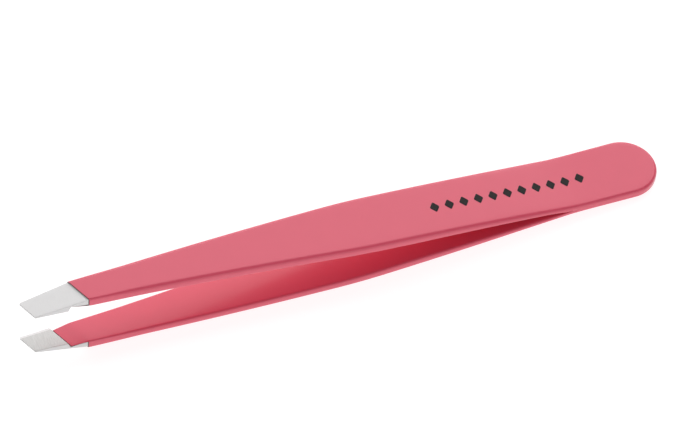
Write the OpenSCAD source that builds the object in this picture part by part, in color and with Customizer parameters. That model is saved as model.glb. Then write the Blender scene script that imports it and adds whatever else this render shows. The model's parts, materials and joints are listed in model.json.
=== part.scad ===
// Slant tweezers: two spring-steel blades, spot welded together at the head and enamelled,
// with bare ground tips cut off at a slant. Millimetres.
//
// The blades are drawn about their own mid-plane: X runs from the tips to the head, Y across the
// width, and Z is the direction in which the arms close. placed() then lays the pair down as it
// rests on a table, on the belly of the lower arm and the end of the head, with Z = 0 the table.
//
// Each blade is one piece of steel. It is drawn as a fixed tang and a moving arm, which meet in
// a round knuckle where the real blade bends, so that the arm can turn about the knuckle's axis.

/* [Overall] */
// Length over the slanted tips and the rounded head
overall_len = 95; // [90:0.5:100]
// Gap between the two gripping faces at the tips, when nothing squeezes the arms
tip_gap = 7.46; // [6.8:0.02:7.6]
// Gap left between the gripping faces when the arms are squeezed shut
closed_gap = 0.02; // [0.01:0.01:0.1]

/* [Plan outline of the steel] */
// Width across the blade at the very tip
tip_w = 2.96; // [2.4:0.02:3.4]
// Width where the bare tip ends and the enamel starts
neck_w = 3.7; // [3.4:0.02:4]
// Width where the long taper ends
shoulder_w = 8.9; // [8:0.1:9.4]
// Distance of that shoulder from the tip
shoulder_x = 48.4; // [44:0.2:54]
// Greatest width, at the head, which is also the diameter of its round end
head_w = 9.42; // [9.4:0.02:11]
// Angle at which the tips are cut off across the blade
slant_angle = 25; // [20:1:30]
// Radius of the long and short corners of the slanted tip
tip_corner_r = 0.2; // [0.2:0.05:0.6]

/* [Side profile of the steel] */
// Height of the bowed outer face above the mid-plane, at the top of its curve
bow_height = 5.4; // [5.2:0.02:5.6]
// Distance of that highest point from the tip
bow_x = 4; // [0:0.5:8]
// Radius of the bow along the arm
bow_r = 628; // [620:1:640]
// Thickness of each arm, from the tip to the start of the thinning
blade_t = 1.31; // [1.2:0.01:1.4]
// Thickness of each blade where it bends and in the head
root_t = 0.7; // [0.6:0.02:0.8]
// Distance from the tip where the arm starts to get thinner
thin_start_x = 56; // [50:1:60]
// Distance from the tip where it is down to the root thickness
thin_end_x = 78; // [76:1:80]
// Height over which the bow eases into the flat head
bend_ease = 0.3; // [0.2:0.05:0.5]

/* [Ground tip] */
// Thickness of the steel left at the cut edge
tip_edge_t = 0.2; // [0.1:0.05:0.4]
// Depth of the step that the wheel leaves in the outer face, where the enamel starts
grind_step = 0.16; // [0.1:0.02:0.2]
// Length of the raised gripping face
pad_len = 4.55; // [4:0.05:5]
// Angle by which the gripping faces open towards the head when their edges have met
pad_relief = 2.2; // [0:0.1:2.6]
// Length of the hollow ground behind the gripping face
hollow_len = 3; // [2.4:0.2:5]
// Extra depth of that hollow at its deep end
hollow_depth = 0.42; // [0.2:0.02:0.5]
// Length of the step from the gripping face down into the hollow
hollow_step = 0.45; // [0.2:0.05:0.6]

/* [Enamel] */
// Thickness of the enamel
coat_t = 0.1; // [0.08:0.01:0.14]
// Length of bare steel at the tip, on the outer face and the sides
bare_len = 7.25; // [7:0.05:9]

/* [Flexure and welds] */
// Distance of the bending point from the tip
flex_x = 75; // [73:0.5:76]
// Radius of the knuckle that stands for the bend
knuckle_r = 0.62; // [0.58:0.01:0.7]
// Running clearance round the knuckle
knuckle_gap = 0.05; // [0.03:0.01:0.08]
// Radius of each spot weld
weld_r = 1.3; // [1:0.1:2]
// Depth of a spot weld into each blade
weld_depth = 0.3; // [0.2:0.02:0.4]
// Distance of the last spot weld from the head's end
weld_from_end = 4.6; // [3:0.2:6]
// Distance from one spot weld to the next
weld_pitch = 4.6; // [3:0.2:6]
// Number of spot welds
weld_count = 2; // [1:1:2]

/* [Printed mark] */
// Thickness of the ink
ink_t = 0.03; // [0.02:0.01:0.05]
// Length of one lozenge of the mark, along the blade
lozenge_len = 1.5; // [1:0.1:1.8]
// Width of one lozenge, across the blade
lozenge_w = 1.9; // [1.4:0.1:2.4]
// Distance from one lozenge to the next
lozenge_pitch = 2.25; // [2:0.05:2.4]
// Distance of the first lozenge from the tip
mark_x = 60.7; // [58:0.1:64]
// Number of lozenges in the mark
mark_count = 11; // [3:1:11]

/* [Hidden] */

STEEL = "silver";
ENAMEL = [0.87, 0.44, 0.5];
INK = "black";

STEP = 2.5;              // spacing of the stations along a curved profile
REACH = 3 * head_w;      // more than any width or height, for cutting shapes
ARC_STEP = 7.5;          // angle between points round the head and the tip's corners

half_tip = tip_w / 2;
half_neck = neck_w / 2;
half_shoulder = shoulder_w / 2;
half_head = head_w / 2;
round_x = overall_len - coat_t - half_head;

// Outer face of the upper blade above the mid-plane: the bow, eased into the flat head.
function bow_z(x) = bow_height - pow(x - bow_x, 2) / (2 * bow_r);
function eased(d) = d > bend_ease ? d : d < -bend_ease ? 0 : pow(d + bend_ease, 2) / (4 * bend_ease);
function outer_z(x) = root_t + eased(bow_z(x) - root_t);

// Thickness of the blade, and its inner face.
function thinning(x) = max(0, min(1, (x - thin_start_x) / (thin_end_x - thin_start_x)));
function thickness(x) = blade_t + (root_t - blade_t) * thinning(x);
function inner_z(x) = outer_z(x) - thickness(x);

// The bending point, in the middle of the blade's thickness.
flex_z = (outer_z(flex_x) + inner_z(flex_x)) / 2;

// The arm's turn from open to shut, and the gripping face, whose edge that turn brings to the mid-plane.
tip_arm = norm([flex_x, tip_gap / 2 - flex_z]);
close_angle = atan2(tip_gap / 2 - flex_z, flex_x) - asin((closed_gap / 2 - flex_z) / tip_arm);
function pad_z(x) = tip_gap / 2 - x * tan(close_angle - pad_relief);

// The tilt at which the belly and the end of the head both touch the table.
head_low = [overall_len, root_t + coat_t];
rest_tilt = max([
    for (x = [20:0.5:70]) atan2(outer_z(x) + coat_t - head_low.y, head_low.x - x)
]);
drop = head_low.x * sin(rest_tilt) + head_low.y * cos(rest_tilt);

// Ends of the tilted pair along X, which set the middle of its length.
lower_tip_x = -(tip_gap / 2 + tip_edge_t) * sin(rest_tilt);
head_end_x = head_low.x * cos(rest_tilt) + head_low.y * sin(rest_tilt);
mid_x = (lower_tip_x + head_end_x) / 2;

// Evenly spaced stations along a profile.
function stations(from, to) = [for (i = [0:ceil((to - from) / STEP)]) min(to, from + i * STEP)];
function reversed(list) = [for (i = [len(list) - 1:-1:0]) list[i]];

module placed() {
    translate([-mid_x, 0, drop]) rotate([0, rest_tilt, 0]) children();
}

// A side profile, with points [x, z], extruded across the whole width.
module across(points) {
    rotate([90, 0, 0]) linear_extrude(height = REACH, center = true) polygon(points);
}

// The frame of the slanted tip: X square to the cut edge, Y along it, origin at the long corner.
module slanted() {
    translate([0, half_tip, 0]) rotate([0, 0, slant_angle]) children();
}

// Everything whose distance from the cut edge, measured along the blade, is over `from`.
module behind(from) {
    slanted() translate([from * cos(slant_angle), -overall_len, -REACH])
        cube([2 * overall_len, 2 * overall_len, 2 * REACH]);
}

// A corner rounded to radius r, as an arc that turns clockwise from one heading to another.
function rounded(corner, from, to, r) =
    let (
        reach = r / cos((from - to) / 2),
        middle = corner + reach * [cos((from + to) / 2 - 90), sin((from + to) / 2 - 90)],
        steps = ceil((from - to) / ARC_STEP)
    )
    [for (i = [0:steps])
        let (a = from + 90 + (to - from) * i / steps)
        middle + r * [cos(a), sin(a)]];

// Everything whose distance from the cut edge is under `to`.
module before(to) {
    slanted() translate([to * cos(slant_angle) - 2 * overall_len, -overall_len, -REACH])
        cube([2 * overall_len, 2 * overall_len, 2 * REACH]);
}

// Plan outline of a blade: the slanted tip, a long taper, an almost parallel grip, a round end.
module outline(grow) {
    long_corner = [0, half_tip + grow];
    short_corner = [tip_w * tan(slant_angle), -half_tip - grow];
    far_side = [[bare_len, half_neck + grow], [shoulder_x, half_shoulder + grow]];
    end = [for (a = [90:-ARC_STEP:-90]) [round_x, 0] + (half_head + grow) * [cos(a), sin(a)]];
    polygon(concat(
        rounded(long_corner, 90 + slant_angle, 0, tip_corner_r),
        far_side, end, [for (p = reversed(far_side)) [p.x, -p.y]],
        rounded(short_corner, 180, 90 + slant_angle, tip_corner_r)
    ));
}

// Full-length blade of the upper arm, from mid-plane to outer face, before the tip is ground.
module bar(grow) {
    xs = stations(0, overall_len);
    top = [for (x = xs) [x, outer_z(x) + grow]];
    bottom = [for (x = xs) [x, max(0, inner_z(x) - grow)]];
    intersection() {
        linear_extrude(height = REACH, center = true) outline(grow);
        across(concat(top, reversed(bottom)));
    }
}

// The block of steel under the gripping face.
module pad() {
    far = pad_len + tip_w;
    intersection() {
        linear_extrude(height = REACH) outline(0);
        across([[0, pad_z(0)], [far, pad_z(far)], [far, inner_z(far) + blade_t / 2],
            [0, inner_z(0) + blade_t / 2]]);
        before(pad_len);
    }
}

// What the wheel takes off the outer face, from the edge of the enamel down to the thin cut edge.
module outer_grind() {
    far = bare_len * cos(slant_angle);
    edge_z = tip_gap / 2 + tip_edge_t;
    slope = (outer_z(bare_len) - grind_step - edge_z) / far;
    slanted() across([[-REACH, edge_z - REACH * slope], [far, edge_z + far * slope],
        [far, REACH], [-REACH, REACH]]);
}

// The hollow behind the gripping face. `grow` moves its floor out, to leave room for enamel.
module hollow(grow) {
    near = pad_len * cos(slant_angle);
    far = (pad_len + hollow_len) * cos(slant_angle);
    floor_z = inner_z(pad_len) + hollow_depth - grow;
    slanted() across([[near, pad_z(pad_len) - blade_t], [near, inner_z(pad_len) - 2 * coat_t],
        [near + hollow_step, floor_z], [far, inner_z(far) - grow], [far, pad_z(pad_len) - blade_t]]);
}

// The whole upper blade in bare steel.
module blade() {
    difference() {
        union() {
            bar(0);
            pad();
        }
        outer_grind();
        hollow(0);
    }
}

// The blade with its enamel on, everywhere but the gripping face.
module coated_blade() {
    difference() {
        bar(coat_t);
        hollow(coat_t);
    }
}

// Where the enamel runs further towards the tip: the inner face, right up to the pad.
module inner_face() {
    far = 3 * bare_len;
    intersection() {
        behind(pad_len + hollow_step);
        linear_extrude(height = REACH) outline(0);
        across([[0, 0], [far, 0], [far, outer_z(far) - blade_t / 2], [0, outer_z(0) - blade_t / 2]]);
    }
}

// The enamel alone: a thin skin all round the blade behind the bare tip.
module enamel() {
    difference() {
        intersection() {
            coated_blade();
            union() {
                behind(bare_len);
                inner_face();
            }
        }
        blade();
    }
}

// The round knuckle that stands for the bend.
module knuckle(r) {
    translate([flex_x, 0, flex_z]) rotate([90, 0, 0]) cylinder(h = REACH, r = r, center = true, $fn = 64);
}

module tip_side() {
    translate([flex_x - 2 * overall_len, -REACH, -REACH]) cube([2 * overall_len, 2 * REACH, 2 * REACH]);
}

// The part of a blade that turns about the knuckle.
module moving() {
    intersection() {
        children();
        union() {
            tip_side();
            knuckle(knuckle_r);
        }
    }
}

// The part of both blades that is held in the head.
module fixed() {
    difference() {
        children();
        tip_side();
        knuckle(knuckle_r + knuckle_gap);
        mirror([0, 0, 1]) knuckle(knuckle_r + knuckle_gap);
    }
}

module spot_welds() {
    color(STEEL)
    for (i = [0:weld_count - 1])
        translate([overall_len - weld_from_end - i * weld_pitch, 0, 0])
            cylinder(h = 2 * weld_depth, r = weld_r, center = true, $fn = 48);
}

module upper_tang() {
    color(STEEL)
    difference() {
        fixed() bar(0);
        spot_welds();
    }
}

module lower_tang() {
    mirror([0, 0, 1]) upper_tang();
}

module head_enamel() {
    color(ENAMEL)
    fixed() difference() {
        union() {
            bar(coat_t);
            mirror([0, 0, 1]) bar(coat_t);
        }
        bar(0);
        mirror([0, 0, 1]) bar(0);
    }
}

module upper_arm() {
    color(STEEL) moving() blade();
}

module lower_arm() {
    mirror([0, 0, 1]) upper_arm();
}

module upper_enamel() {
    color(ENAMEL) moving() enamel();
}

module lower_enamel() {
    mirror([0, 0, 1]) upper_enamel();
}

module lozenge() {
    polygon([[-lozenge_len / 2, 0], [0, lozenge_w / 2], [lozenge_len / 2, 0], [0, -lozenge_w / 2]]);
}

// A row of ink lozenges on the upper blade, those whose middles lie from one X to another.
module mark(from, to) {
    xs = stations(0, overall_len);
    bottom = [for (x = xs) [x, outer_z(x) + coat_t]];
    top = [for (x = xs) [x, outer_z(x) + coat_t + ink_t]];
    color(INK)
    intersection() {
        across(concat(bottom, reversed(top)));
        linear_extrude(height = REACH)
            for (i = [0:mark_count - 1]) {
                x = mark_x + i * lozenge_pitch;
                if (x >= from && x < to)
                    translate([x, 0]) lozenge();
            }
    }
}

module mark_on_arm() {
    mark(0, flex_x);
}

module mark_on_head() {
    mark(flex_x, overall_len);
}

placed() upper_tang();
placed() lower_tang();
placed() spot_welds();
placed() head_enamel();
placed() upper_arm();
placed() upper_enamel();
placed() lower_arm();
placed() lower_enamel();
placed() mark_on_arm();
placed() mark_on_head();
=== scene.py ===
"""Slant tweezers: enamelled spring-steel blades with bare slanted tips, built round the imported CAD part.

Lengths in the shape functions are millimetres in the blades' own frame: X from the tips to the head,
Y across the blades, Z the way the arms close, with the mid-plane at Z = 0. TO_ROW takes them to the
row frame in metres, where the tweezers rest on the table.
"""

import functools
import json
import math

import bmesh
import bpy
import numpy as np
from mathutils import Matrix, Vector


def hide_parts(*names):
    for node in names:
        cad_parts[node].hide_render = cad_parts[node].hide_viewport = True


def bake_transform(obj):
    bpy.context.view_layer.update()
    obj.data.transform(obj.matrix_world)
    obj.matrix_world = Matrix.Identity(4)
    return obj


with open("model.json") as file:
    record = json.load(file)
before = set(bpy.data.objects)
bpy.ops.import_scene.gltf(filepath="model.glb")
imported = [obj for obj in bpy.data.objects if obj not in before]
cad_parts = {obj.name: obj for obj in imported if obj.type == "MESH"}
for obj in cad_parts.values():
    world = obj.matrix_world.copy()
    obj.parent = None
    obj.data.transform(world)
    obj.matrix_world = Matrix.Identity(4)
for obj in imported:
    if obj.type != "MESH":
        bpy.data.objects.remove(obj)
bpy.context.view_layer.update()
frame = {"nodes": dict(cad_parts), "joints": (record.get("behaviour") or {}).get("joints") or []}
MM = 0.001

# ---------------------------------------------------------------- driving dimensions, as in the CAD

LENGTH = 95.0
TIP_GAP = 7.46
SLANT_ANGLE = math.radians(25.0)
SLANT = math.tan(SLANT_ANGLE)

HALF_TIP = 1.48
HALF_NECK = 1.85
HALF_SHOULDER = 4.45
HALF_HEAD = 4.71
SHOULDER_X = 48.4
SHOULDER_EASE = 0.2
TIP_CORNER = 0.21       # a touch rounder than the CAD's, to stay inside it

BOW_HEIGHT, BOW_X, BOW_R = 5.4, 4.0, 628.0
BLADE_T, ROOT_T = 1.31, 0.70
THIN_START, THIN_END = 56.0, 78.0
BEND_EASE = 0.3

TIP_EDGE_T = 0.2
GRIND_STEP = 0.16
PAD_LEN = 4.55
PAD_RELIEF = math.radians(2.2)
HOLLOW_LEN = 3.0
HOLLOW_DEPTH = 0.42
HOLLOW_STEP = 0.45

COAT = 0.1
BARE_LEN = 7.25
FLEX_X = 75.0
BEND_FROM, BEND_TO = 81.0, 69.0     # where the blade starts and ends its bend, either side of FLEX_X

ROUND_X = LENGTH - COAT - HALF_HEAD
HOLLOW_START, HOLLOW_END = PAD_LEN + HOLLOW_STEP, PAD_LEN + HOLLOW_LEN
SLANT_FADE = (14.0, 30.0)           # over this stretch the cross-sections turn from slanted to square

# ---------------------------------------------------------------- the CAD's two hinges

JOINTS = {j["child"]: j for j in frame["joints"]}
UPPER_PIVOT = Vector(JOINTS["upper_arm"]["pos_m"])
LOWER_PIVOT = Vector(JOINTS["lower_arm"]["pos_m"])
CLOSE_ANGLE = math.radians(JOINTS["upper_arm"]["range_deg"][1])

# ---------------------------------------------------------------- shape functions


def eased(d, width):
    """A soft version of max(d, 0), which never goes below it."""
    if d > width:
        return d
    if d < -width:
        return 0.0
    return (d + width) ** 2 / (4 * width)


def soft_min(a, b, width):
    """A soft version of min(a, b), which never goes above it."""
    return b - eased(b - a, width)


def smooth(t):
    """An ease from 0 to 1 as t goes from 0 to 1, level at both ends."""
    t = min(1.0, max(0.0, t))
    return t * t * (3 - 2 * t)


def line(x, x0, y0, x1, y1):
    """The height at x of the straight line through two points."""
    return y0 + (y1 - y0) * (x - x0) / (x1 - x0)


def between(t, low, high):
    return low + (high - low) * t


def corner_inset(s, side):
    """How much the slanted tip's round corner takes off one side, s behind the cut edge."""
    lean = -side * math.sin(SLANT_ANGLE)
    behind = s * math.cos(SLANT_ANGLE) - TIP_CORNER
    if behind >= -lean * TIP_CORNER:
        return 0.0
    chord = math.sqrt(max(0.0, TIP_CORNER ** 2 - behind ** 2))
    return TIP_CORNER + lean * behind - math.cos(SLANT_ANGLE) * chord


def half_width(x):
    """Half the width of the steel up to the rounded end of the head."""
    tip = line(x, 0, HALF_TIP, BARE_LEN, HALF_NECK)
    taper = line(x, BARE_LEN, HALF_NECK, SHOULDER_X, HALF_SHOULDER)
    grip = line(x, SHOULDER_X, HALF_SHOULDER, ROUND_X, HALF_HEAD)
    return soft_min(max(tip, taper), grip, SHOULDER_EASE)


def outer_z(x):
    """The outer face of the upper blade: a bow that eases into the flat head."""
    bow = BOW_HEIGHT - (x - BOW_X) ** 2 / (2 * BOW_R)
    return ROOT_T + eased(bow - ROOT_T, BEND_EASE)


def inner_z(x):
    """The inner face of the upper blade, which thins towards the head."""
    thinning = min(1.0, max(0.0, (x - THIN_START) / (THIN_END - THIN_START)))
    return outer_z(x) - between(thinning, BLADE_T, ROOT_T)


def pad_z(x):
    """The gripping face, whose front edge meets the other one's when the arms are shut."""
    return TIP_GAP / 2 - x * math.tan(CLOSE_ANGLE - PAD_RELIEF)


def steel_top(x, s):
    """The outer face of the steel at X, s behind the cut edge: ground flat up to the enamel."""
    if s >= BARE_LEN:
        return outer_z(x)
    return line(s, 0, TIP_GAP / 2 + TIP_EDGE_T, BARE_LEN, outer_z(BARE_LEN) - GRIND_STEP)


def steel_bottom(x, s):
    """The inner face of the steel: the raised pad, the hollow behind it, then the arm."""
    if s <= PAD_LEN:
        return pad_z(x)
    if s >= HOLLOW_END:
        return inner_z(x)
    deepest = inner_z(PAD_LEN) + HOLLOW_DEPTH
    floor = line(max(s, HOLLOW_START), HOLLOW_START, deepest, HOLLOW_END, inner_z(HOLLOW_END))
    face = max(inner_z(x), floor)
    climb = math.sin(math.pi / 2 * min(1.0, (s - PAD_LEN) / HOLLOW_STEP))
    return between(climb, pad_z(x), face)


# ---------------------------------------------------------------- the blades' frame


def rest_tilt():
    """The tilt at which the belly and the end of the head both touch the table."""
    return max(math.atan2(outer_z(x) - ROOT_T, LENGTH - x) for x in range(20, 71))


def blade_frame():
    """The matrix from the blades' own millimetres to the row frame in metres."""
    turn = Matrix.Rotation(rest_tilt(), 4, "Y")
    flex_point = (UPPER_PIVOT + LOWER_PIVOT) / 2
    tip = flex_point - turn @ Vector((FLEX_X * MM, 0, 0))
    return Matrix.Translation(tip) @ turn @ Matrix.Scale(MM, 4)


TO_ROW = blade_frame()

# ---------------------------------------------------------------- lofting a blade along its length

FACE_COLUMNS = 12        # quads across the outer and the inner face
CORNER_STEPS = 6         # quads round an edge
SIDE_STEPS = 2           # quads down a side
SLANT_PASSES = 3         # rounds of matching X to the width there, on a slanted cross-section
RIM = 2 * CORNER_STEPS + SIDE_STEPS + 1      # points down one side of a ring
RING = 2 * RIM + 2 * (FACE_COLUMNS - 1)      # points round a ring


class Station:
    """A cross-section's place: s behind the cut edge, half the width, and the outline's normal there."""

    def __init__(self, s, half, normal):
        self.s = s
        self.half = half
        self.normal = normal

    def point(self, side, inset, grow):
        """The plan position [x, y] at a side (1 far, -1 near), in by inset from the grown outline."""
        slanted = 1 - smooth((self.s - SLANT_FADE[0]) / (SLANT_FADE[1] - SLANT_FADE[0]))
        nx, ny = self.normal
        reach = grow - inset
        x, half = self.s, self.half
        for _ in range(SLANT_PASSES if slanted > 0 else 0):
            x = self.s + slanted * SLANT * (HALF_TIP - side * (half + reach * ny))
            half = half_width(x) - corner_inset(self.s, side)
        return np.array([x + nx * reach, side * (half + ny * reach)])


def station_at(s):
    """The station at s, anywhere before the round end of the head."""
    step = 0.01
    slope = (half_width(s + step) - half_width(s - step)) / (2 * step)
    length = math.hypot(slope, 1)
    return Station(s, half_width(s), (-slope / length, 1 / length))


def head_station(angle):
    """A station on the round end of the head."""
    s, c = math.sin(angle), math.cos(angle)
    return Station(ROUND_X + HALF_HEAD * s, HALF_HEAD * c, (s, c))


def head_stations(count):
    return [head_station(math.pi / 2 * i / count) for i in range(1, count + 1)]


def spaced(start, end, step):
    """Evenly spaced values after start, up to and with end, about a step apart."""
    count = max(1, round((end - start) / step))
    return [start + (end - start) * (i + 1) / count for i in range(count)]


def rim(station, side, section, grow, r_top, r_bottom):
    """The points down one side, over its two round edges, from the outer face to the inner one."""
    s = station.s
    quarter = [math.pi / 2 * i / CORNER_STEPS for i in range(CORNER_STEPS + 1)]
    found = []
    for angle in quarter:
        x, y = station.point(side, r_top * (1 - math.sin(angle)), grow)
        found.append([x, y, section(x, s)[0] - r_top * (1 - math.cos(angle))])
    x, y = station.point(side, 0, grow)
    top, bottom = section(x, s)[:2]
    for i in range(1, SIDE_STEPS):
        found.append([x, y, line(i, 0, top - r_top, SIDE_STEPS, bottom + r_bottom)])
    for angle in quarter:
        x, y = station.point(side, r_bottom * (1 - math.cos(angle)), grow)
        found.append([x, y, section(x, s)[1] + r_bottom * (1 - math.sin(angle))])
    return found


def face_points(start, end, height):
    """The points between two rims, across a face whose height at x is height(x)."""
    found = []
    for i in range(1, FACE_COLUMNS):
        x, y, _ = between(i / FACE_COLUMNS, np.array(start), np.array(end))
        found.append([x, y, height(x)])
    return found


def ring(station, section, grow):
    """The closed loop of points of one cross-section, as [x, y, z], far side first.

    section(x, s) gives the outer z, the inner z, the outer edge radius and the inner edge radius.
    """
    s = station.s
    far_x = station.point(1, 0, grow)[0]
    radii = section(far_x, s)[2:]
    far = rim(station, 1, section, grow, *radii)
    near = rim(station, -1, section, grow, *radii)
    inner = face_points(far[-1], near[-1], lambda x: section(x, s)[1])
    outer = face_points(near[0], far[0], lambda x: section(x, s)[0])
    return far + inner + near[::-1] + outer


def zone(k):
    """Which part of the section ring point k is on: a 'side', or the 'inner' or 'outer' face."""
    if k < RIM or RIM + FACE_COLUMNS - 1 <= k < 2 * RIM + FACE_COLUMNS - 1:
        return "side"
    return "inner" if k < RIM + FACE_COLUMNS - 1 else "outer"


def rim_place(k):
    """How many points down its side ring point k is, counted from the outer face."""
    return k if k < RIM else 2 * RIM + FACE_COLUMNS - 2 - k


def skin(rings, closed_start=True):
    """Vertices and faces of a tube of rings, whose last one, at the head's end, is folded flat."""
    verts = [p for r in rings for p in r]
    faces = []
    for i in range(len(rings) - 1):
        for k in range(RING):
            a, b = i * RING + k, i * RING + (k + 1) % RING
            faces.append((a, b, b + RING, a + RING))
    if closed_start:
        faces.append(tuple(reversed(range(RING))))
    return verts, faces


SHARP_ANGLE = math.radians(40)      # edges that turn more than this stay crisp


def shade(mesh):
    """Joins doubled points, turns every face outwards, and shades round edges smooth."""
    bm = bmesh.new()
    bm.from_mesh(mesh)
    bmesh.ops.remove_doubles(bm, verts=bm.verts, dist=1e-7)
    bmesh.ops.recalc_face_normals(bm, faces=bm.faces)
    for edge in bm.edges:
        edge.smooth = not (len(edge.link_faces) == 2 and edge.calc_face_angle() > SHARP_ANGLE)
    for face in bm.faces:
        face.smooth = True
    bm.to_mesh(mesh)
    bm.free()


def build(name, verts, faces, mirrored, materials, face_material=None, attributes=None):
    """A mesh object in the row frame. mirrored makes the lower blade's copy of an upper shape."""
    flip = Matrix.Scale(-1, 4, (0, 0, 1)) if mirrored else Matrix.Identity(4)
    place = TO_ROW @ flip
    mesh = bpy.data.meshes.new(name)
    mesh.from_pydata([place @ Vector(v) for v in verts], [], faces)
    for key, values in (attributes or {}).items():
        mesh.attributes.new(key, "FLOAT", "POINT").data.foreach_set("value", values)
    for material in materials:
        mesh.materials.append(material)
    if face_material:
        mesh.polygons.foreach_set("material_index", face_material)
    shade(mesh)
    obj = bpy.data.objects.new(name, mesh)
    bpy.context.scene.collection.objects.link(obj)
    weighted = obj.modifiers.new("weighted_normals", "WEIGHTED_NORMAL")
    weighted.keep_sharp = True
    weighted.weight = 80
    return obj


# ---------------------------------------------------------------- the steel blade

STEEL_EDGE = 0.3         # edge radius of the steel under the enamel
GROUND_EDGE = 0.035      # edge radius left by grinding, at the tip
HOLLOW_EDGE = 0.2        # inner edge radius behind the gripping pad
TIP_BEVEL = 0.02         # size of the bevel round the cut edge
TANG_SHIM = 0.02         # keeps the two tangs' faces apart


def steel_section(x, s):
    """The section of the bare steel, for ring()."""
    r_top = between(smooth((s - BARE_LEN) / 4), GROUND_EDGE, STEEL_EDGE)
    r_bottom = between(smooth((s - PAD_LEN - 0.8) / 2), GROUND_EDGE, HOLLOW_EDGE)
    bottom = max(TANG_SHIM, steel_bottom(x, s))
    return steel_top(x, s), bottom, r_top, r_bottom


def steel_stations():
    """Stations from the cut edge to the head's end, close together wherever the shape turns."""
    corner_end, square_start = 0.6, 14.0
    corner = [TIP_BEVEL] + spaced(TIP_BEVEL, corner_end, 0.045)
    pad = spaced(corner_end, PAD_LEN - 0.05, 0.35) + [PAD_LEN]
    step = spaced(PAD_LEN, HOLLOW_START, 0.045)
    hollow = spaced(HOLLOW_START, BARE_LEN - 0.02, 0.25)
    coated = [BARE_LEN + 0.02] + spaced(BARE_LEN + 0.02, square_start, 0.5)
    arm = spaced(square_start, BEND_TO - 3, 1.6) + spaced(BEND_TO - 3, BEND_FROM + 3, 0.7)
    head = spaced(BEND_FROM + 3, ROUND_X, 1.1)
    places = corner + pad + step + hollow + coated + arm + head
    return [station_at(s) for s in places] + head_stations(20)


def cut_end(first):
    """The ring that closes the cut edge: the first ring, drawn in by a small bevel."""
    first = np.array(first)
    inwards = np.clip(first.mean(axis=0) - first, -TIP_BEVEL, TIP_BEVEL)
    across = 2.5 * inwards[:, 1]
    end = first.copy()
    end[:, 0] -= across * SLANT + TIP_BEVEL
    end[:, 1] += across
    end[:, 2] += inwards[:, 2]
    return end.tolist()


def steel_blade(name, mirrored):
    """One blade of bare steel, whose gripping pad is filed and the rest ground."""
    stations = steel_stations()
    rings = [ring(station, steel_section, 0) for station in stations]
    verts, faces = skin([cut_end(rings[0])] + rings)
    on_pad = [
        1 if station.s <= PAD_LEN and zone(k) == "inner" else 0
        for station in stations
        for k in range(RING)
    ]
    face_material = on_pad + [0]
    return build(name, verts, faces, mirrored, [ground_steel(), filed_steel()], face_material)


# ---------------------------------------------------------------- the enamel

OUTER_EDGE, INNER_EDGE = 0.52, 0.26                 # edge radii under the enamel, along the arm
FRONT_OUTER_EDGE, FRONT_INNER_EDGE = 0.22, 0.08     # the same, where the enamel starts
SOFTEN_LEN = 9.0         # how far behind the bare tip the edges take to reach their full radii
LIP = [0.0, 0.012, 0.03, 0.06, 0.11]                # distances behind the enamel's edge, over its lip
LIP_LEN = LIP[-1]
MERGE_X = 11.0           # where the enamel's rings stop following its uneven front edge
MERGE_STEPS = 12         # rings between the lip and there
INNER_SHIM = 0.01        # keeps the enamel's back off the steel


def coat_start(k):
    """How far behind the cut edge the enamel starts at ring point k: nearer it on the inner face."""
    if zone(k) == "inner":
        return HOLLOW_START
    if zone(k) == "outer":
        return BARE_LEN
    turned = (rim_place(k) - (RIM - 1 - CORNER_STEPS)) / CORNER_STEPS
    return between(smooth(2 * turned - 1), BARE_LEN, HOLLOW_START)


def coat_section(off):
    """The section of the coated blade with its surface off the steel by that much, for ring()."""
    lowest = INNER_SHIM if off < COAT / 2 else 0.0

    def section(x, s):
        along = smooth((s - BARE_LEN) / SOFTEN_LEN)
        top = outer_z(x) + off
        bottom = max(lowest, steel_bottom(x, s) - off)
        thick = top - bottom
        r_top = off + between(along, FRONT_OUTER_EDGE, OUTER_EDGE)
        r_bottom = off + between(along, FRONT_INNER_EDGE, INNER_EDGE)
        return top, bottom, min(r_top, thick * 0.6), min(r_bottom, bottom * 0.9, thick * 0.36)

    return section


def coat_stations():
    """Stations from MERGE_X to the head's end."""
    arm = spaced(MERGE_X, BEND_TO - 3, 1.3) + spaced(BEND_TO - 3, BEND_FROM + 3, 0.5)
    head = spaced(BEND_FROM + 3, ROUND_X, 0.8)
    return [station_at(s) for s in [MERGE_X] + arm + head] + head_stations(28)


def lip_thickness(distance):
    """The enamel's thickness a little way behind its edge: a quarter round, then full."""
    t = min(1.0, distance / LIP_LEN)
    return between(math.sqrt(1 - (1 - t) ** 2), INNER_SHIM, COAT)


def back_thickness(distance):
    """The same for the enamel's back, which only clears the steel."""
    return INNER_SHIM


def front_ring(index, thickness, ring_at):
    """A ring near the enamel's edge, where each point keeps its own distance from the cut edge."""
    points = []
    for k in range(RING):
        start = coat_start(k)
        if index < len(LIP):
            s = start + LIP[index]
        else:
            t = (index - len(LIP) + 1) / (MERGE_STEPS + 1)
            s = between(t, start + LIP_LEN, MERGE_X)
        points.append(ring_at(s, thickness(s - start))[k])
    return points


def enamel_rings(thickness):
    """The rings of one surface of the enamel, whose height off the steel is thickness(distance)."""

    @functools.cache
    def ring_at(s, off):
        return ring(station_at(s), coat_section(off), off)

    off = thickness(LENGTH)
    rings = [front_ring(i, thickness, ring_at) for i in range(len(LIP) + MERGE_STEPS)]
    return rings + [ring(station, coat_section(off), off) for station in coat_stations()]


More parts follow.
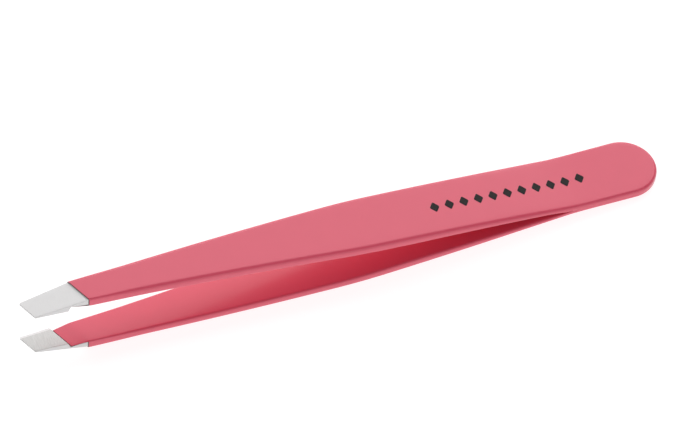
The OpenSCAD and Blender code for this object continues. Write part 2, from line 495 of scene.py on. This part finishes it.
def enamel(name, mirrored):
    """The coat of one blade: an outer and an inner surface, joined round its front edge."""
    outside = enamel_rings(lip_thickness)
    inside = enamel_rings(back_thickness)
    verts, faces = skin(outside, closed_start=False)
    back_verts, back_faces = skin(inside, closed_start=False)
    offset = len(verts)
    faces += [tuple(offset + v for v in reversed(face)) for face in back_faces]
    for k in range(RING):
        after = (k + 1) % RING
        faces.append((after, k, offset + k, offset + after))
    # The lip rings and the enamel's back carry the mask for the painted shade line at the cut edge.
    painted_lip_shade = [1.0 if i < len(LIP) - 1 else 0.0 for i in range(len(outside)) for _ in range(RING)]
    painted_lip_shade += [1.0] * len(back_verts)
    return build(name, verts + back_verts, faces, mirrored, [coral_enamel()], attributes={"painted_lip_shade": painted_lip_shade})


# ---------------------------------------------------------------- the printed mark

INK = 0.02               # the ink's thickness
INK_SINK = 0.01          # how far the ink goes into the enamel
MARK_X, MARK_PITCH, MARK_COUNT = 60.7, 2.25, 11
LOZENGE_LEN, LOZENGE_W = 1.5, 1.9
LOZENGE_CORNER = 0.24    # how much of each side a round corner takes
CORNER_POINTS = 6


def towards(start, end, distance):
    return start + (end - start) / np.linalg.norm(end - start) * distance


def lozenge_outline(middle_x):
    """A lozenge with rounded corners, as points [x, y]."""
    half_l, half_w = LOZENGE_LEN / 2, LOZENGE_W / 2
    corners = [np.array(c) for c in ((half_l, 0), (0, half_w), (-half_l, 0), (0, -half_w))]
    points = []
    for i, corner in enumerate(corners):
        a = towards(corner, corners[i - 1], LOZENGE_CORNER)
        b = towards(corner, corners[(i + 1) % 4], LOZENGE_CORNER)
        for t in np.linspace(0, 1, CORNER_POINTS):
            x, y = a * (1 - t) ** 2 + corner * 2 * t * (1 - t) + b * t ** 2
            points.append((middle_x + x, y))
    return points


def printed_mark():
    """A row of ink lozenges along the upper blade's outer face."""
    verts, faces = [], []
    for i in range(MARK_COUNT):
        outline = lozenge_outline(MARK_X + i * MARK_PITCH)
        n, base = len(outline), len(verts)
        for lift in (-INK_SINK, INK):
            verts += [(x, y, outer_z(x) + COAT + lift) for x, y in outline]
        faces.append(tuple(range(base + n - 1, base - 1, -1)))
        faces.append(tuple(range(base + n, base + 2 * n)))
        for j in range(n):
            after = (j + 1) % n
            faces.append((base + j, base + after, base + n + after, base + n + j))
    return build("printed_mark", verts, faces, False, [black_ink()])


# ---------------------------------------------------------------- materials


def material(name):
    """A new material, its node tree and its main shader."""
    made = bpy.data.materials.new(name)
    made.use_nodes = True
    tree = made.node_tree
    return made, tree, tree.nodes["Principled BSDF"]


def node(tree, kind, **inputs):
    """A node of that kind, with inputs set by name (spaces as underscores)."""
    made = tree.nodes.new(kind)
    for key, value in inputs.items():
        made.inputs[key.replace("_", " ")].default_value = value
    return made


def grain(tree, scale, stretch=(1, 1, 1), turn=0.0, detail=3.0):
    """Noise of about scale waves a millimetre, times stretch along each axis, turned about Z."""
    place = tree.nodes.new("ShaderNodeTexCoord")
    mapping = node(tree, "ShaderNodeMapping", Rotation=(0, 0, turn), Scale=[1000 * v for v in stretch])
    noise = node(tree, "ShaderNodeTexNoise", Scale=scale, Detail=detail, Roughness=0.55)
    tree.links.new(place.outputs["Object"], mapping.inputs["Vector"])
    tree.links.new(mapping.outputs["Vector"], noise.inputs["Vector"])
    return noise.outputs["Fac"]


def ranged(tree, value, low, high):
    """value from 0..1 brought to low..high."""
    made = tree.nodes.new("ShaderNodeMapRange")
    made.inputs["To Min"].default_value = low
    made.inputs["To Max"].default_value = high
    tree.links.new(value, made.inputs["Value"])
    return made.outputs["Result"]


def mixed(tree, factor, a, b):
    """Colour a where factor is 0 and b where it is 1. Each is a colour or a socket."""
    made = tree.nodes.new("ShaderNodeMix")
    made.data_type = "RGBA"
    tree.links.new(factor, made.inputs["Factor"])
    for key, value in (("A", a), ("B", b)):
        socket = next(i for i in made.inputs if i.name == key and i.type == "RGBA")
        if isinstance(value, bpy.types.NodeSocket):
            tree.links.new(value, socket)
        else:
            socket.default_value = (*value, 1)
    return next(o for o in made.outputs if o.type == "RGBA")


def bump(tree, shader, height, strength, distance_mm):
    """Gives the shader a relief of that depth."""
    made = node(tree, "ShaderNodeBump", Strength=strength, Distance=distance_mm * MM)
    tree.links.new(height, made.inputs["Height"])
    tree.links.new(made.outputs["Normal"], shader.inputs["Normal"])


@functools.cache
def coral_enamel():
    """Baked enamel: smooth and semi-gloss, with a faint orange peel and a painted shade line at its cut
    edge, where the rounded lip falls in shade.
    """
    made, tree, shader = material("coral_enamel")
    cloud = grain(tree, 0.25, detail=2)
    colour = mixed(tree, cloud, (0.79, 0.083, 0.147), (0.83, 0.089, 0.156))
    # Painted shade: the lip is darkened to stand in for the shade on the enamel's cut edge.
    painted_lip_shade = tree.nodes.new("ShaderNodeAttribute")
    painted_lip_shade.attribute_name = "painted_lip_shade"
    colour = mixed(tree, painted_lip_shade.outputs["Fac"], colour, (0.13, 0.035, 0.04))
    tree.links.new(colour, shader.inputs["Base Color"])
    tree.links.new(ranged(tree, grain(tree, 1.1), 0.27, 0.36), shader.inputs["Roughness"])
    shader.inputs["Coat Weight"].default_value = 0.25
    shader.inputs["Coat Roughness"].default_value = 0.15
    bump(tree, shader, grain(tree, 2.2, detail=2), 0.12, 0.01)
    return made


@functools.cache
def ground_steel():
    """Stainless steel as the grinding wheel left it, in fine lines along the slanted edge."""
    made, tree, shader = material("ground_steel")
    lines = grain(tree, 1.0, stretch=(22, 1.2, 6), turn=math.radians(-25), detail=4)
    patches = grain(tree, 0.8, detail=2)
    colour = mixed(tree, lines, (0.66, 0.65, 0.65), (0.78, 0.77, 0.77))
    colour = mixed(tree, ranged(tree, patches, 0, 0.35), colour, (0.80, 0.79, 0.79))
    tree.links.new(colour, shader.inputs["Base Color"])
    tree.links.new(ranged(tree, lines, 0.45, 0.6), shader.inputs["Roughness"])
    shader.inputs["Metallic"].default_value = 0.5
    bump(tree, shader, lines, 0.25, 0.01)
    return made


@functools.cache
def filed_steel():
    """The gripping face, filed by hand in two crossing directions."""
    made, tree, shader = material("filed_steel")
    one = grain(tree, 1.0, stretch=(16, 1.0, 1), turn=math.radians(-35), detail=4)
    two = grain(tree, 1.0, stretch=(16, 1.0, 1), turn=math.radians(40), detail=4)
    crossed = tree.nodes.new("ShaderNodeMath")
    crossed.operation = "MAXIMUM"
    tree.links.new(one, crossed.inputs[0])
    tree.links.new(two, crossed.inputs[1])
    height = crossed.outputs["Value"]
    colour = mixed(tree, ranged(tree, height, -0.4, 1.3), (0.42, 0.42, 0.41), (0.66, 0.66, 0.65))
    tree.links.new(colour, shader.inputs["Base Color"])
    tree.links.new(ranged(tree, height, 0.3, 0.55), shader.inputs["Roughness"])
    shader.inputs["Metallic"].default_value = 0.5
    bump(tree, shader, height, 0.45, 0.015)
    return made


def weld_steel():
    """Fused steel of the spot welds, heat-tinted in rings."""
    made, tree, shader = material("weld_steel")
    tint = mixed(tree, grain(tree, 1.5, detail=4), (0.36, 0.3, 0.24), (0.55, 0.55, 0.56))
    tree.links.new(tint, shader.inputs["Base Color"])
    tree.links.new(ranged(tree, grain(tree, 4.0), 0.4, 0.65), shader.inputs["Roughness"])
    shader.inputs["Metallic"].default_value = 1.0
    return made


@functools.cache
def black_ink():
    """Matt printed ink, a little uneven."""
    made, tree, shader = material("black_ink")
    colour = mixed(tree, grain(tree, 3.0, detail=5), (0.008, 0.007, 0.007), (0.03, 0.025, 0.025))
    tree.links.new(colour, shader.inputs["Base Color"])
    tree.links.new(ranged(tree, grain(tree, 6.0), 0.5, 0.7), shader.inputs["Roughness"])
    shader.inputs["Specular IOR Level"].default_value = 0.2
    bump(tree, shader, grain(tree, 8.0), 0.2, 0.005)
    return made


# ---------------------------------------------------------------- the pieces


def bending(obj):
    """Bakes a piece's placement into its mesh."""
    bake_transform(obj)


def make_blade(side, mirrored):
    """A steel blade and its enamel, each in one piece from the tip to the end of the head."""
    steel = steel_blade(f"{side}_blade", mirrored)
    bending(steel)
    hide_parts(f"{side}_arm", f"{side}_tang")
    coat = enamel(f"{side}_enamel_coat", mirrored)
    bending(coat)
    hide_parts(f"{side}_enamel", "head_enamel")


def make_mark():
    mark = printed_mark()
    bending(mark)
    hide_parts("mark_on_arm", "mark_on_head")


def finish_welds():
    """The spot welds keep their CAD shape."""
    welds = frame["nodes"]["spot_welds"]
    welds.data.materials.clear()
    welds.data.materials.append(weld_steel())


make_blade("upper", mirrored=False)
make_blade("lower", mirrored=True)
make_mark()
finish_welds()

# ---------------------------------------------------------------- floor, light and camera

CAMERA_AZIMUTH, CAMERA_ELEVATION = math.radians(-21.19), math.radians(52.24)
CAMERA_DISTANCE = 0.5036
LENS, SENSOR_WIDTH = 189.1, 36.0
LOOK_X = 47.0            # the point on the mid-plane that the camera looks at, before the rise
LOOK_RISE = 4.73         # how far above that point the middle of the view is
FLOOR_SIZE = 6.0
FLOOR_GLOW = 0.87        # keeps the floor near white, and lights the blades' sides from below
WORLD_LIGHT = 0.25


def direction(azimuth, elevation):
    a, e = azimuth, elevation
    return Vector((math.sin(a) * math.cos(e), -math.cos(a) * math.cos(e), math.sin(e)))


def aim(obj, target, back, distance):
    """Puts a camera or a light at that distance from the target, looking at it along -back."""
    obj.location = target + back * distance
    obj.rotation_mode = "QUATERNION"
    obj.rotation_quaternion = back.to_track_quat("Z", "Y")
    bpy.context.scene.collection.objects.link(obj)


def floor_material():
    """A pale floor that glows a little."""
    made, tree, shader = material("pale_floor")
    colour = mixed(tree, grain(tree, 0.01), (0.29, 0.29, 0.29), (0.31, 0.31, 0.31))
    tree.links.new(colour, shader.inputs["Base Color"])
    shader.inputs["Roughness"].default_value = 0.9
    shader.inputs["Specular IOR Level"].default_value = 0.1
    shader.inputs["Emission Color"].default_value = (1, 1, 1, 1)
    shader.inputs["Emission Strength"].default_value = FLOOR_GLOW
    return made


def pale_floor():
    mesh = bpy.data.meshes.new("floor")
    h = FLOOR_SIZE / 2
    mesh.from_pydata([(-h, -h, 0), (h, -h, 0), (h, h, 0), (-h, h, 0)], [], [(0, 1, 2, 3)])
    mesh.materials.append(floor_material())
    floor = bpy.data.objects.new("floor", mesh)
    bpy.context.scene.collection.objects.link(floor)


def softbox(name, azimuth, elevation, distance, width, height, radiance):
    """A rectangular light aimed at the tweezers, whose surface glows with that radiance."""
    data = bpy.data.lights.new(name, "AREA")
    data.shape = "RECTANGLE"
    data.size, data.size_y = width, height
    data.energy = radiance * math.pi * width * height
    light = bpy.data.objects.new(name, data)
    back = direction(math.radians(azimuth), math.radians(elevation))
    aim(light, Vector((0, 0, 0)), back, distance)


def studio():
    """A dim even surround, a big light behind, a low one for the gap, and a faint one in front."""
    world = bpy.data.worlds.new("studio")
    bpy.context.scene.world = world
    world.use_nodes = True
    background = world.node_tree.nodes["Background"]
    background.inputs["Color"].default_value = (1, 1, 1, 1)
    background.inputs["Strength"].default_value = WORLD_LIGHT
    softbox("back_softbox", 159, 58, 1.2, 1.8, 1.2, 1.5)
    softbox("low_back_softbox", 165, 24, 1.2, 1.8, 0.4, 2.4)
    softbox("front_softbox", -10, 12, 1.0, 1.8, 0.4, 0.8)
    bpy.context.scene.view_settings.view_transform = "Standard"


def photo_camera():
    back = direction(CAMERA_AZIMUTH, CAMERA_ELEVATION)
    right = Vector((math.cos(CAMERA_AZIMUTH), math.sin(CAMERA_AZIMUTH), 0))
    up = back.cross(right)
    target = TO_ROW @ Vector((LOOK_X, 0, 0)) + up * LOOK_RISE * MM
    data = bpy.data.cameras.new("camera")
    data.sensor_width, data.lens = SENSOR_WIDTH, LENS
    data.clip_start, data.clip_end = 0.01, 20
    camera = bpy.data.objects.new("camera", data)
    aim(camera, target, back, CAMERA_DISTANCE)
    bpy.context.scene.camera = camera


pale_floor()
studio()
photo_camera()
